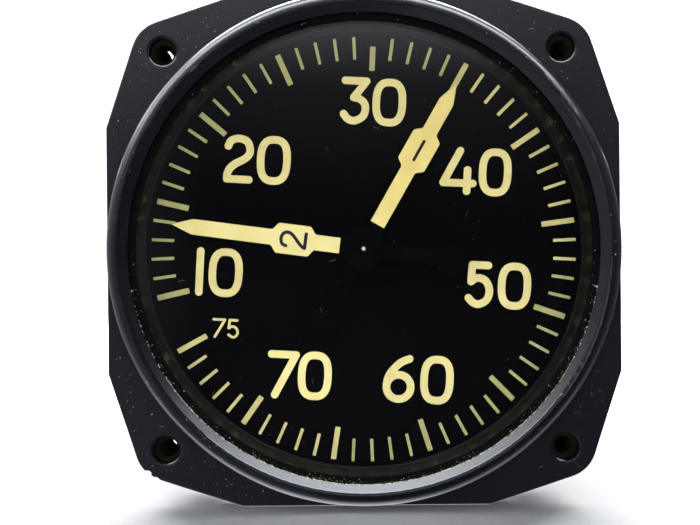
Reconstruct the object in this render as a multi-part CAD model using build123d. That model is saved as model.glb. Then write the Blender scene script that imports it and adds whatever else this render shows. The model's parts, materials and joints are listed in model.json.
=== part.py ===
from build123d import *
import os
from math import sin, cos, tan, radians, sqrt, pi

os.makedirs("parts", exist_ok=True)

# Dual-pointer manifold pressure indicator for an aircraft panel.
# Millimetres. +X right, +Z up, the dial faces -Y. The origin is on the
# instrument's axis, at the front (panel) face of the mounting flange.

# ---------------------------------------------------------------- flange
HOLE_SPACING = 62.865          # square hole pattern, 3.5 in bolt circle
FLANGE_HALF = 40.5             # half width across the flats
FLANGE_FLAT_HALF = 19.5        # half length of each straight side
FLANGE_SLOPE = 18.2            # degrees, the eight sloped edges
FLANGE_CORNER_R = 5.6
FLANGE_T = 5.0
HOLE_R = 2.1                   # screw clearance hole in the flange
HOLE_LIP = 0.5                 # rounding of the hole's mouth
INSERT_SEAT_R = 3.2
INSERT_SEAT_Y = 2.0
INSERT_BORE_R = 1.6            # No. 6-32 thread, drawn plain
INSERT_SHOULDER_R = 3.7
INSERT_SHANK_R = 2.9
INSERT_END_Y = 19.0
INSERT_SLOT_Y = 10.0           # the shank is slotted from here to its end
INSERT_SLOT_W = 0.7
# the two slotting planes of each insert, degrees from +X towards +Z, by corner (x sign, z sign)
INSERT_SLOTS = {(-1, 1): (111, 172), (-1, -1): (183, 93), (1, 1): (2, 92), (1, -1): (-4, 86)}
# the broken edge of the chip at the lower left corner, (x, z), and how far it
# moves outward from the front face to the rear face
CHIP = [(-34.95, -34.75), (-34.60, -34.62), (-34.22, -34.68), (-33.92, -34.86), (-33.80, -35.10), (-33.86, -35.47),
        (-33.45, -35.67), (-33.12, -35.72), (-32.92, -35.66), (-32.74, -35.88), (-32.40, -36.20)]
CHIP_BACK = (-0.12, -0.16)
# a shallow knock on the crest of the bead, upper left: place (x, z), radius, depth
KNOCK = (-26.15, 28.4)
KNOCK_R, KNOCK_DEPTH = 5.0, 0.13

# ---------------------------------------------------------------- front ring
RING_R = 39.8
RING_STRAIGHT_Y = -4.3         # where the straight wall turns into the bead
RING_CREST_R = 38.15
RING_CREST_Y = -6.4
RING_B_R = 37.5                # inner edge of the bead
RING_B_Y = -6.15
LIP_R = 36.45                  # inner edge of the bevel
LIP_FRONT_Y = -5.25
LIP_BACK_Y = -3.9
BORE_R = 37.8
COLLAR_R = 39.4                # behind the flange
COLLAR_Y = 9.0

# ---------------------------------------------------------------- glass stack
GASKET_R_IN = 35.4
GASKET_R_OUT = 37.7
STACK_R = 37.6
GLASS_Y0, GLASS_Y1 = -3.4, -1.0
SPACER_R_FRONT = 35.9
SPACER_R_BACK = 35.3
SPACER_LIP_R = 35.04
DIAL_Y0, DIAL_Y1 = 6.0, 7.0
DIAL_HOLE_R = 3.2
PLATE_Y0, PLATE_Y1 = 7.0, 9.0

# ---------------------------------------------------------------- pointers
POINTER_T = 0.4
POINTER_1_Y = 3.4              # front face of the rear pointer
POINTER_2_Y = 1.0              # front face of the front pointer
POINTER_1_ANGLE = 30.0         # clockwise from the top, seen from the front
POINTER_2_ANGLE = 277.9
POINTER_1_TIP, POINTER_2_TIP = 30.15, 30.5
POINTER_1_PANEL, POINTER_2_PANEL = 17.98, 11.21
BLADE_W = 2.5
PANEL_W, PANEL_L, PANEL_SHOULDER = 4.8, 4.8, 1.2
HEAD_L = 3.2
HUB_R = 3.5
TAIL_C, TAIL_R, TAIL_W = 13.95, 2.4, 2.5
HUB_HOLE_1, HUB_HOLE_2 = 2.3, 1.1

# ---------------------------------------------------------------- rear case
CAN_R, CAN_WALL = 38.1, 1.5
CAN_FLANGE_Y0, CAN_FLANGE_Y1 = 9.5, 11.0
CAN_END_Y, CAN_BACK_T = 96.0, 3.0
EAR_X, EAR_Z, EAR_R = 37.0, 20.5, 3.0
CASE_SCREW_R = 1.1

# ---------------------------------------------------------------- connector
CONN_SQ, CONN_T = 34.9, 3.2
CONN_HOLE = 26.97
BARREL_R, BARREL_BORE_R, BARREL_END_Y = 14.2, 12.0, 114.0
CONN_SKIRT_R, CONN_SKIRT_Y = 13.0, 90.0
INSERT_Y0, INSERT_Y1 = 91.0, 99.5
PIN_R, PIN_Y0, PIN_Y1 = 0.8, 87.5, 108.5
PIN_CIRCLE_R = 8.0
PIN_CENTRE_X = 2.6

# ---------------------------------------------------------------- synchro units
FRONT_Y0, REAR_Y0 = 9.0, 45.0  # front faces of the two units
UNIT_L = 36.0
BELL_R, BELL_T = 33.6, 3.0
SHELL_R_OUT, SHELL_R_IN = 28.5, 27.0
STATOR_BORE_R = 14.25
ROTOR_R = 13.95
CORE_U0, CORE_U1 = 9.0, 21.0
SLOTS = 12
TIE_R, TIE_CIRCLE_R = 1.25, 31.0
TIE_ANGLES = (90, 210, 330)
SLIP_R = 4.2

# bearings: bore, outside radius, pitch radius, inner ring, outer ring, balls
BRG_W = 3.967
BALL_R = 0.794
GROOVE_R = 0.844
BRG_FRONT = dict(bore=2.381, od=6.35, pitch=4.366, ri=3.85, ro=4.90, n=8, c0=4.05, c1=4.70)
BRG_REAR = dict(bore=1.5875, od=4.7625, pitch=3.175, ri=2.65, ro=3.70, n=7, c0=2.85, c1=3.50)
BRG_U_FRONT = 0.6              # front end of the front bearing, from the unit's face
BRG_U_REAR = 31.433            # front end of the rear bearing

# shafts
HOLLOW_BORE_R = 1.3
HOLLOW_NOSE_BORE_R = 1.05
INNER_R = 1.0
INNER_TIP_R = 0.5


# ================================================================ helpers
def ycyl(r, y0, y1, x=0.0, z=0.0):
    """Solid cylinder along Y."""
    return Location((x, y0, z), (-90, 0, 0)) * Cylinder(r, y1 - y0, align=(Align.CENTER, Align.CENTER, Align.MIN))


def ycone(r0, r1, y0, y1, x=0.0, z=0.0):
    return Location((x, y0, z), (-90, 0, 0)) * Cone(r0, r1, y1 - y0, align=(Align.CENTER, Align.CENTER, Align.MIN))


def ring(r_out, r_in, y0, y1, x=0.0, z=0.0):
    return ycyl(r_out, y0, y1, x, z) - ycyl(r_in, y0 - 1, y1 + 1, x, z)


def block(x0, x1, y0, y1, z0, z1):
    return Location(((x0 + x1) / 2, (y0 + y1) / 2, (z0 + z1) / 2)) * Box(x1 - x0, y1 - y0, z1 - z0)


def turn(points):
    """Solid of revolution about Y from a closed list of (radius, y)."""
    face = make_face(Polyline(*points, close=True))
    return revolve(face, axis=Axis.Y, revolution_arc=360)


def plate_xz(sketch, y0, y1):
    """A flat face drawn in (x, z) and given thickness from y0 to y1."""
    plane = Plane(origin=(0, y0, 0), x_dir=(1, 0, 0), z_dir=(0, -1, 0))
    return extrude(plane * sketch, amount=y1 - y0, dir=(0, 1, 0))


def polar(r, deg):
    return r * cos(radians(deg)), r * sin(radians(deg))


def about_y(shape, deg):
    """Turn a shape about the instrument's axis."""
    return Rot(0, deg, 0) * shape


def solids_of(shape):
    return [s for s in shape.solids()]


NODES = {}


def save(name, *shapes):
    found = []
    for s in shapes:
        found += solids_of(s)
    NODES[name] = found
    out = found[0] if len(found) == 1 else Compound(children=found)
    export_step(out, f"parts/{name}.step")


# ================================================================ flange outline
def flange_outline(grow=0.0):
    """The cut-cornered square: straight sides, eight sloped edges, four round corners."""
    b = radians(FLANGE_SLOPE)
    w, v, rc = FLANGE_HALF, FLANGE_FLAT_HALF, FLANGE_CORNER_R
    n = (cos(b), sin(b))
    q = (-rc + w * n[0] + v * n[1]) / (n[0] + n[1])
    first = []
    # one quarter, from the right side's upper end to the top side's right end
    a = (w, v)
    t0 = (q + rc * n[0], q + rc * n[1])
    m = (q + rc * sqrt(0.5), q + rc * sqrt(0.5))
    t1 = (t0[1], t0[0])
    d = (v, w)
    lines = []
    for k in range(4):
        c, s = (1, 0, -1, 0)[k], (0, 1, 0, -1)[k]
        rot = lambda p: (p[0] * c - p[1] * s, p[0] * s + p[1] * c)
        lines += [Line(rot(a), rot(t0)), ThreePointArc(rot(t0), rot(m), rot(t1)), Line(rot(t1), rot(d))]
        nxt = ((0, -1, 0, 1)[k], (1, 0, -1, 0)[k])
        c2, s2 = (0, -1, 0, 1)[k], (1, 0, -1, 0)[k]
        lines.append(Line(rot(d), (a[0] * c2 - a[1] * s2, a[0] * s2 + a[1] * c2)))
    return make_face(lines)


corners = [(sx * HOLE_SPACING / 2, sz * HOLE_SPACING / 2) for sx in (-1, 1) for sz in (-1, 1)]
ears = [(sx * EAR_X, sz * EAR_Z) for sx in (-1, 1) for sz in (-1, 1)]

# ================================================================ front case
# flange with softened edges
flange = plate_xz(flange_outline(), 0, FLANGE_T)
front_edges = flange.faces().sort_by(Axis.Y)[0].edges()
flange = fillet(front_edges, 0.4)
rear_edges = flange.faces().sort_by(Axis.Y)[-1].edges()
flange = chamfer(rear_edges, 0.3)

# ring: straight wall, rounded bead, inward bevel and the lip that the glass bears on
ring_face = make_face([
    Line((RING_R, 0.5), (RING_R, RING_STRAIGHT_Y)),
    ThreePointArc((RING_R, RING_STRAIGHT_Y), (39.28, -5.72), (RING_CREST_R, RING_CREST_Y)),
    ThreePointArc((RING_CREST_R, RING_CREST_Y), (37.80, -6.36), (RING_B_R, RING_B_Y)),
    Line((RING_B_R, RING_B_Y), (LIP_R, LIP_FRONT_Y)),
    Line((LIP_R, LIP_FRONT_Y), (LIP_R, 0.5)),
    Line((LIP_R, 0.5), (RING_R, 0.5)),
])
front_ring = revolve(ring_face, axis=Axis.Y, revolution_arc=360)
# a small root radius where the ring stands on the flange
root = turn([(RING_R - 0.2, 0.2), (RING_R - 0.2, -0.5), (RING_R, -0.5), (RING_R + 0.12, -0.14), (RING_R + 0.5, 0.0), (RING_R + 0.5, 0.2)])
collar = ycyl(COLLAR_R, FLANGE_T - 0.5, COLLAR_Y)
pads = [ycyl(EAR_R, FLANGE_T - 0.5, COLLAR_Y, x, z) for x, z in ears]
front_case = flange + front_ring + root + collar
for p in pads:
    front_case += p
front_case -= ycyl(BORE_R, LIP_BACK_Y, COLLAR_Y + 1)
front_case -= ycyl(LIP_R, -10, LIP_BACK_Y + 0.5)
for x, z in corners:
    front_case -= ycyl(HOLE_R, -1, FLANGE_T + 1, x, z)
    mouth = revolve(make_face([
        Line((0, -0.1), (HOLE_R + HOLE_LIP, -0.1)),
        Line((HOLE_R + HOLE_LIP, -0.1), (HOLE_R + HOLE_LIP, 0)),
        ThreePointArc((HOLE_R + HOLE_LIP, 0), (HOLE_R + HOLE_LIP * (1 - sqrt(0.5)), HOLE_LIP * (1 - sqrt(0.5))), (HOLE_R, HOLE_LIP)),
        Line((HOLE_R, HOLE_LIP), (0, HOLE_LIP)),
        Line((0, HOLE_LIP), (0, -0.1)),
    ]), axis=Axis.Y, revolution_arc=360)
    front_case -= Location((x, 0, z)) * mouth
    front_case -= ycyl(INSERT_SEAT_R, INSERT_SEAT_Y, FLANGE_T + 1, x, z)
for x, z in ears:
    front_case -= ycyl(CASE_SCREW_R, 3.0, COLLAR_Y + 1, x, z)
# a chip broken out of the lower left corner's edge, deepest at the front
chip = loft([
    Plane(origin=(0, y, 0), x_dir=(1, 0, 0), z_dir=(0, -1, 0)) * make_face(Polyline(*[
        (x + k * CHIP_BACK[0], z + k * CHIP_BACK[1]) for x, z in CHIP
    ] + [(-32.4, -38.0), (-37.0, -36.5)], close=True))
    for y, k in ((-0.2, 0.0), (FLANGE_T + 0.2, 1.0))
], ruled=True)
front_case -= chip
front_case -= Location((KNOCK[0], RING_CREST_Y - KNOCK_R + KNOCK_DEPTH, KNOCK[1])) * Sphere(KNOCK_R)
save("front_case", front_case)

# long threaded inserts in the four corner holes, their ends slotted so that they grip the screw
inserts = []
for x, z in corners:
    s = ycyl(INSERT_SEAT_R, INSERT_SEAT_Y, FLANGE_T, x, z)
    s += ycyl(INSERT_SHOULDER_R, FLANGE_T, FLANGE_T + 1.0, x, z)
    s += ycyl(INSERT_SHANK_R, FLANGE_T + 1.0, INSERT_SLOT_Y - 0.5, x, z)
    s += ycone(INSERT_SHANK_R, INSERT_SHANK_R - 0.35, INSERT_SLOT_Y - 0.5, INSERT_END_Y, x, z)
    s -= ycyl(INSERT_BORE_R, 0, INSERT_END_Y + 1, x, z)
    s -= ycone(INSERT_BORE_R + 0.4, INSERT_BORE_R, INSERT_SEAT_Y, INSERT_SEAT_Y + 0.4, x, z)
    length = INSERT_END_Y + 0.4 - INSERT_SLOT_Y
    for ang in INSERT_SLOTS[(1 if x > 0 else -1, 1 if z > 0 else -1)]:
        s -= Location((x, INSERT_SLOT_Y + length / 2, z), (0, -ang, 0)) * Box(8.0, length, INSERT_SLOT_W)
    inserts.append(s)
save("mounting_inserts", *inserts)

# ================================================================ glass stack
save("glass_gasket", ring(GASKET_R_OUT, GASKET_R_IN, LIP_BACK_Y, GLASS_Y0))
glass = ycyl(STACK_R, GLASS_Y0, GLASS_Y1)
glass = chamfer(glass.edges(), 0.25)
save("cover_glass", glass)
save("spacer_ring", turn([
    (STACK_R, GLASS_Y1), (SPACER_R_FRONT, GLASS_Y1), (SPACER_R_BACK, 5.1),
    (SPACER_LIP_R, 5.45), (SPACER_LIP_R, DIAL_Y0), (STACK_R, DIAL_Y0)]))
dial = ring(STACK_R, DIAL_HOLE_R, DIAL_Y0, DIAL_Y1)
save("dial_plate", dial)

# ================================================================ mechanism plate
plate = ring(STACK_R, 5.2, PLATE_Y0, PLATE_Y1)
for a in TIE_ANGLES:
    x, z = polar(TIE_CIRCLE_R, a)
    plate -= ycyl(TIE_R, PLATE_Y0 - 1, PLATE_Y1 + 1, x, z)
    plate -= ycone(2.6, TIE_R, PLATE_Y0, PLATE_Y0 + 1.35, x, z)
for a in (30, 150, 270):
    x, z = polar(30.5, a)
    plate -= ycyl(3.0, PLATE_Y0 - 1, PLATE_Y1 + 1, x, z)
save("mechanism_plate", plate)


# ================================================================ synchro units
def bell_front(y0, b, lead_angles):
    s = ring(BELL_R, b["od"] - 1.3, y0, y0 + BELL_T)
    s += ring(SHELL_R_IN, SHELL_R_IN - 2.0, y0 + BELL_T, y0 + BELL_T + 1.0)
    s += ring(b["od"] + 2.2, b["od"], y0 + BELL_T, y0 + BRG_U_FRONT + BRG_W + 0.3)
    s -= ycyl(b["od"], y0 + BRG_U_FRONT, y0 + 20)
    for a in TIE_ANGLES:
        x, z = polar(TIE_CIRCLE_R, a)
        s -= ycyl(TIE_R, y0 - 1, y0 + 5, x, z)
    for k in range(6):
        x, z = polar(18.0, 60 * k)
        s -= ycyl(4.2, y0 - 1, y0 + BELL_T + 0.01, x, z)
    for a in lead_angles:
        x, z = polar(31.4, a)
        s -= ycyl(1.6, y0 - 1, y0 + 5, x, z)
    return s


def bell_rear(y0, b, lead_angles):
    """y0 is the unit's front face."""
    f = y0 + UNIT_L - BELL_T
    s = ring(BELL_R, b["od"] - 1.3, f, y0 + UNIT_L)
    s += ring(SHELL_R_IN, SHELL_R_IN - 2.0, f - 1.0, f)
    s += ring(b["od"] + 2.2, b["od"], y0 + BRG_U_REAR - 0.3, f)
    s -= ycyl(b["od"], y0 + 20, y0 + BRG_U_REAR + BRG_W)
    for a in TIE_ANGLES:
        x, z = polar(TIE_CIRCLE_R, a)
        s -= ycyl(TIE_R, f - 1, y0 + UNIT_L + 1, x, z)
    for k in (1, 2, 4, 5):
        x, z = polar(18.0, 60 * k)
        s -= ycyl(4.2, f - 0.01, y0 + UNIT_L + 1, x, z)
    for a in lead_angles:
        x, z = polar(31.4, a)
        s -= ycyl(1.6, f - 1, y0 + UNIT_L + 1, x, z)
    return s


def shell(y0, lead_angle):
    s = ring(SHELL_R_OUT, SHELL_R_IN, y0 + BELL_T, y0 + UNIT_L - BELL_T)
    hole = Location((0, y0 + 27.5, 0), (0, -lead_angle, 0)) * (Location((27.7, 0, 0), (0, 90, 0)) * Cylinder(1.6, 6.0))
    return s - hole


def slot_face(r0, r1, w0, w1):
    return make_face(Polyline((r0, -w0), (r1, -w1), (r1, w1), (r0, w0), close=True))


def stator_core(y0):
    s = ring(SHELL_R_IN, STATOR_BORE_R, y0 + CORE_U0, y0 + CORE_U1)
    cut = plate_xz(slot_face(15.9, 22.2, 1.6, 3.2), y0 + CORE_U0 - 1, y0 + CORE_U1 + 1)
    cut += plate_xz(slot_face(13.5, 16.2, 0.7, 0.7), y0 + CORE_U0 - 1, y0 + CORE_U1 + 1)
    for k in range(SLOTS):
        s -= about_y(cut, 360 / SLOTS * k)
    return s


def stator_winding(y0):
    s = None
    for u0, u1 in ((5.6, CORE_U0), (CORE_U1, 24.4)):
        r = ring(22.0, 16.2, y0 + u0, y0 + u1)
        outer = u0 if u0 < CORE_U0 else u1
        edges = [e for e in r.edges() if abs(e.center().Y - (y0 + outer)) < 1e-3]
        r = fillet(edges, 1.2)
        s = r if s is None else s + r
    bar = plate_xz(slot_face(16.2, 21.9, 1.35, 2.8), y0 + CORE_U0 - 0.5, y0 + CORE_U1 + 0.5)
    for k in range(SLOTS):
        s += about_y(bar, 360 / SLOTS * k)
    return s


def rotor_core(y0, r_shaft):
    s = ycyl(ROTOR_R, y0 + CORE_U0, y0 + CORE_U1)
    for sx in (-1, 1):
        s -= block(min(sx * 4.5, sx * 15), max(sx * 4.5, sx * 15), y0, y0 + 30, -8.0, 8.0)
    return s - ycyl(r_shaft, y0, y0 + 30)


def rotor_winding(y0, r_shaft):
    s = block(-10.8, 10.8, y0 + 6.6, y0 + 23.4, -7.8, 7.8)
    s = fillet(s.edges().filter_by(Axis.Z), 1.6)
    s -= block(-4.5, 4.5, y0 + CORE_U0, y0 + CORE_U1, -9, 9)
    return s - ycyl(r_shaft, y0, y0 + 30)


def slip_sleeve(y0, r_shaft):
    s = turn([(r_shaft, y0 + 23.6), (4.9, y0 + 23.6), (4.9, y0 + 25.0), (3.6, y0 + 25.0), (3.6, y0 + 26.6),
              (4.9, y0 + 26.6), (4.9, y0 + 28.0), (3.6, y0 + 28.0), (3.6, y0 + 29.6), (4.9, y0 + 29.6),
              (4.9, y0 + 30.6), (3.0, y0 + 30.6), (3.0, y0 + BRG_U_REAR), (r_shaft, y0 + BRG_U_REAR)])
    return s if r_shaft < 3.0 else None


def slip_rings(y0):
    return [ring(SLIP_R, 3.6, y0 + a, y0 + a + 1.6) for a in (25.0, 28.0)]


def brush_block(y0):
    s = block(13.2, 19.5, y0 + 24.9, y0 + UNIT_L - BELL_T, -5.6, 5.6)
    return fillet(s.edges().filter_by(Axis.Y), 0.8)


def brushes(y0):
    out = []
    for u in (25.2, 28.2):
        for sz in (-1, 1):
            z0, z1 = sorted((sz * (SLIP_R + 0.05), sz * (SLIP_R + 0.30)))
            out.append(block(-2.4, 13.2, y0 + u, y0 + u + 1.2, z0, z1))
    return out


def bearing_outer(y, b):
    s = ring(b["od"], b["ro"], y, y + BRG_W)
    g = Location((0, y + BRG_W / 2, 0), (-90, 0, 0)) * Torus(b["pitch"], GROOVE_R)
    return s - g


def bearing_inner(y, b):
    s = ring(b["ri"], b["bore"], y, y + BRG_W)
    g = Location((0, y + BRG_W / 2, 0), (-90, 0, 0)) * Torus(b["pitch"], GROOVE_R)
    return s - g


def bearing_balls(y, b):
    out = []
    for k in range(b["n"]):
        x, z = polar(b["pitch"], 360 / b["n"] * k + 11)
        out.append(Location((x, y + BRG_W / 2, z)) * Sphere(BALL_R))
    return out


def bearing_cage(y, b):
    s = ring(b["c1"], b["c0"], y + BRG_W / 2 - 1.15, y + BRG_W / 2 + 1.15)
    for k in range(b["n"]):
        a = 360 / b["n"] * k + 11
        hole = Location((0, y + BRG_W / 2, 0), (0, -a, 0)) * (Location((b["pitch"], 0, 0), (0, 90, 0)) * Cylinder(GROOVE_R + 0.02, 3.0))
        s -= hole
    return s


LEAD_FRONT, LEAD_REAR = 45, 135
units = (
    ("front_synchro", FRONT_Y0, BRG_FRONT, LEAD_FRONT),
    ("rear_synchro", REAR_Y0, BRG_REAR, LEAD_REAR),
)
for name, y0, b, lead in units:
    front_leads = () if name == "front_synchro" else (LEAD_FRONT,)
    rear_leads = (LEAD_FRONT,) if name == "front_synchro" else (LEAD_FRONT, LEAD_REAR)
    save(f"{name}_front_bell", bell_front(y0, b, front_leads))
    save(f"{name}_rear_bell", bell_rear(y0, b, rear_leads))
    save(f"{name}_shell", shell(y0, lead))
    save(f"{name}_stator_core", stator_core(y0))
    save(f"{name}_stator_winding", stator_winding(y0))
    save(f"{name}_brush_block", brush_block(y0))
    save(f"{name}_brushes", *brushes(y0))
    ys = (y0 + BRG_U_FRONT, y0 + BRG_U_REAR)
    save(f"{name}_bearing_outer_rings", *[bearing_outer(y, b) for y in ys])
    save(f"{name}_bearing_inner_rings", *[bearing_inner(y, b) for y in ys])
    save(f"{name}_bearing_balls", *sum([bearing_balls(y, b) for y in ys], []))
    save(f"{name}_bearing_cages", *[bearing_cage(y, b) for y in ys])
    save(f"{name}_rotor_core", rotor_core(y0, b["bore"]))
    save(f"{name}_rotor_winding", rotor_winding(y0, b["bore"]))
    save(f"{name}_slip_ring_sleeve", slip_sleeve(y0, b["bore"]))
    save(f"{name}_slip_rings", *slip_rings(y0))

# ================================================================ shafts
# hollow shaft of the front unit: nose for the rear pointer, journal, collar
y0 = FRONT_Y0
hollow = ycyl(1.9, 3.0, 4.8) + ycyl(2.1, 4.8, y0 + 0.3) + ycyl(BRG_FRONT["bore"], y0 + 0.3, y0 + UNIT_L - 0.4)
hollow += ycyl(3.1, y0 + BRG_U_FRONT + BRG_W, y0 + 6.2)
hollow -= ycyl(HOLLOW_NOSE_BORE_R, 2, 6)
hollow -= ycyl(HOLLOW_BORE_R, 4.8, y0 + UNIT_L)
save("hollow_shaft", hollow)

# inner shaft of the rear unit, through the hollow one to the front pointer
y0 = REAR_Y0
inner = ycyl(INNER_TIP_R, 0.75, 2.4) + ycyl(INNER_R, 2.4, y0 + 0.3) + ycyl(BRG_REAR["bore"], y0 + 0.3, y0 + UNIT_L - 0.4)
inner += ycyl(2.3, y0 + BRG_U_FRONT + BRG_W, y0 + 6.2)
inner = chamfer(inner.edges().sort_by(Axis.Y)[0], 0.12)
save("inner_shaft", inner)


# ================================================================ pointers
def pointer(tip, panel, y, angle, hole):
    """Stamped sheet: blade with a wider numeral panel, arrowhead, hub disc, tail and tail disc."""
    h, p, g = BLADE_W / 2, PANEL_W / 2, PANEL_L / 2
    a0, a1 = panel - g - PANEL_SHOULDER, panel - g
    b0, b1 = panel + g, panel + g + PANEL_SHOULDER
    head = tip - HEAD_L
    t = 0.09
    fwd = ((1, 0), (1, 0))
    back = ((-1, 0), (-1, 0))
    outline = [
        Line((0, -h), (a0, -h)),
        Spline((a0, -h), (a1, -p), tangents=fwd),
        Line((a1, -p), (b0, -p)),
        Spline((b0, -p), (b1, -h), tangents=fwd),
        Line((b1, -h), (head, -h)),
        Line((head, -h), (tip - 0.05, -t)),
        ThreePointArc((tip - 0.05, -t), (tip, 0), (tip - 0.05, t)),
        Line((tip - 0.05, t), (head, h)),
        Line((head, h), (b1, h)),
        Spline((b1, h), (b0, p), tangents=back),
        Line((b0, p), (a1, p)),
        Spline((a1, p), (a0, h), tangents=back),
        Line((a0, h), (0, h)),
        Line((0, h), (0, -h)),
    ]
    blade = plate_xz(make_face(outline), y, y + POINTER_T)
    s = blade + ycyl(HUB_R, y, y + POINTER_T)
    s += block(-TAIL_C, 0, y, y + POINTER_T, -TAIL_W / 2, TAIL_W / 2)
    s += ycyl(TAIL_R, y, y + POINTER_T, -TAIL_C, 0)
    s -= ycyl(hole, y - 1, y + 2)
    # drawn pointing along +X: turned about Y so that it points at the clockwise angle
    return Rot(0, angle - 90, 0) * s


save("pointer_1", pointer(POINTER_1_TIP, POINTER_1_PANEL, POINTER_1_Y, POINTER_1_ANGLE, HUB_HOLE_1))
save("pointer_2", pointer(POINTER_2_TIP, POINTER_2_PANEL, POINTER_2_Y, POINTER_2_ANGLE, HUB_HOLE_2))
bush_1 = turn([(1.9, 3.1), (2.3, 3.1), (2.3, 3.8), (3.0, 3.8), (3.0, 4.6), (1.9, 4.6)])
save("pointer_1_bush", bush_1)
bush_2 = turn([(0.5, 0.85), (1.1, 0.85), (1.1, 1.4), (2.4, 1.4), (2.4, 1.9), (1.2, 1.9), (1.2, 2.3), (0.5, 2.3)])
save("pointer_2_bush", bush_2)

# ================================================================ tie bolts and terminal board
bolts, nuts = [], []
BOARD_Y0, BOARD_Y1 = 83.0, 84.6
for a in TIE_ANGLES:
    x, z = polar(TIE_CIRCLE_R, a)
    s = ycone(2.6, TIE_R, PLATE_Y0, PLATE_Y0 + 1.35, x, z) + ycyl(TIE_R, PLATE_Y0 + 1.35, 87.6, x, z)
    s -= block(x - 3, x + 3, PLATE_Y0 - 1, PLATE_Y0 + 0.6, z - 0.3, z + 0.3)
    bolts.append(s)
    for f in (81.0, BOARD_Y1):
        nut = plate_xz(Pos(x, -z) * RegularPolygon(2.75, 6), f, f + 2.0)
        nut = nut if abs(nut.center().Z - z) < 0.1 else plate_xz(Pos(x, z) * RegularPolygon(2.75, 6), f, f + 2.0)
        nuts.append(nut - ycyl(TIE_R, f - 1, f + 3, x, z))
save("tie_bolts", *bolts)
save("tie_bolt_nuts", *nuts)

board = ycyl(34.5, BOARD_Y0, BOARD_Y1)
for a in TIE_ANGLES:
    x, z = polar(TIE_CIRCLE_R, a)
    board -= ycyl(TIE_R, BOARD_Y0 - 1, BOARD_Y1 + 1, x, z)
board -= ycyl(5.0, BOARD_Y0 - 1, BOARD_Y1 + 1)
pin_places = [polar(PIN_CIRCLE_R, 22.5 + 45 * k) for k in range(8)] + [(PIN_CENTRE_X, 0), (-PIN_CENTRE_X, 0)]
lug_places = [polar(18.0, 22.5 + 45 * k) for k in range(8)] + [(18.0, 0), (-18.0, 0)]
lugs = []
for x, z in lug_places:
    board -= ycyl(0.9, BOARD_Y0 - 1, BOARD_Y1 + 1, x, z)
    s = ycyl(0.9, BOARD_Y0 - 1.2, BOARD_Y1 + 3.0, x, z)
    s += ycyl(1.5, BOARD_Y1, BOARD_Y1 + 0.5, x, z) + ycyl(1.4, BOARD_Y0 - 0.5, BOARD_Y0, x, z)
    s += ycyl(1.5, BOARD_Y1 + 2.6, BOARD_Y1 + 3.0, x, z)
    lugs.append(s)
save("terminal_board", board)
save("terminal_lugs", *lugs)

# insulated leads from the lugs to the connector's solder cups
leads = []
LEAD_R = 0.55
for (lx, lz), (px, pz) in zip(lug_places, pin_places):
    r = sqrt(lx * lx + lz * lz)
    ux, uz = lx / r, lz / r
    yl = BOARD_Y1 + 1.5
    path = FilletPolyline((lx - ux * 0.95, yl, lz - uz * 0.95), (px, yl, pz), (px, PIN_Y0, pz), radius=1.0)
    start = Plane(origin=path @ 0, z_dir=path % 0)
    leads.append(sweep(start * Circle(LEAD_R), path=path))
save("connector_leads", *leads)

# sleeved leads from the two stators to the terminal board
sleeves = []
for y0, a in ((FRONT_Y0, LEAD_FRONT), (REAR_Y0, LEAD_REAR)):
    c, s_ = cos(radians(a)), sin(radians(a))
    path = FilletPolyline((26.6 * c, y0 + 27.5, 26.6 * s_), (31.4 * c, y0 + 27.5, 31.4 * s_), (31.4 * c, BOARD_Y0, 31.4 * s_), radius=2.2)
    start = Plane(origin=path @ 0, z_dir=path % 0)
    sleeves.append(sweep(start * Circle(1.2), path=path))
save("stator_leads", *sleeves)

# ================================================================ rear case
can = ycyl(CAN_R, CAN_FLANGE_Y0, CAN_END_Y)
can = fillet([e for e in can.edges() if abs(e.center().Y - CAN_END_Y) < 1e-3 and e.length > 50], 2.5)
can += ycyl(COLLAR_R, CAN_FLANGE_Y0, CAN_FLANGE_Y1)
for x, z in ears:
    can += ycyl(EAR_R, CAN_FLANGE_Y0, CAN_FLANGE_Y1, x, z)
can -= ycyl(CAN_R - CAN_WALL, CAN_FLANGE_Y0 - 1, CAN_END_Y - CAN_BACK_T)
for x, z in ears:
    can -= ycyl(1.3, CAN_FLANGE_Y0 - 1, CAN_FLANGE_Y1 + 1, x, z)
can -= ycyl(CONN_SKIRT_R + 0.3, CAN_END_Y - 5, CAN_END_Y + 1)
h = CONN_HOLE / 2
conn_holes = [(sx * h, sz * h) for sx in (-1, 1) for sz in (-1, 1)]
for x, z in conn_holes:
    can -= ycyl(1.45, CAN_END_Y - 5, CAN_END_Y + 1, x, z)
save("rear_case", can)

seal = ycyl(COLLAR_R, COLLAR_Y, CAN_FLANGE_Y0)
for x, z in ears:
    seal += ycyl(EAR_R, COLLAR_Y, CAN_FLANGE_Y0, x, z)
seal -= ycyl(CAN_R - CAN_WALL, COLLAR_Y - 1, CAN_FLANGE_Y0 + 1)
for x, z in ears:
    seal -= ycyl(1.3, COLLAR_Y - 1, CAN_FLANGE_Y0 + 1, x, z)
save("case_gasket", seal)

case_screws = []
for x, z in ears:
    s = ycyl(CASE_SCREW_R, 3.4, CAN_FLANGE_Y1, x, z)
    head = ycyl(2.1, CAN_FLANGE_Y1, CAN_FLANGE_Y1 + 1.5, x, z)
    head = fillet([e for e in head.edges() if abs(e.center().Y - CAN_FLANGE_Y1 - 1.5) < 1e-3], 0.5)
    s += head
    s -= block(x - 3, x + 3, CAN_FLANGE_Y1 + 0.8, CAN_FLANGE_Y1 + 3, z - 0.3, z + 0.3)
    case_screws.append(s)
save("case_screws", *case_screws)

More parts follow.
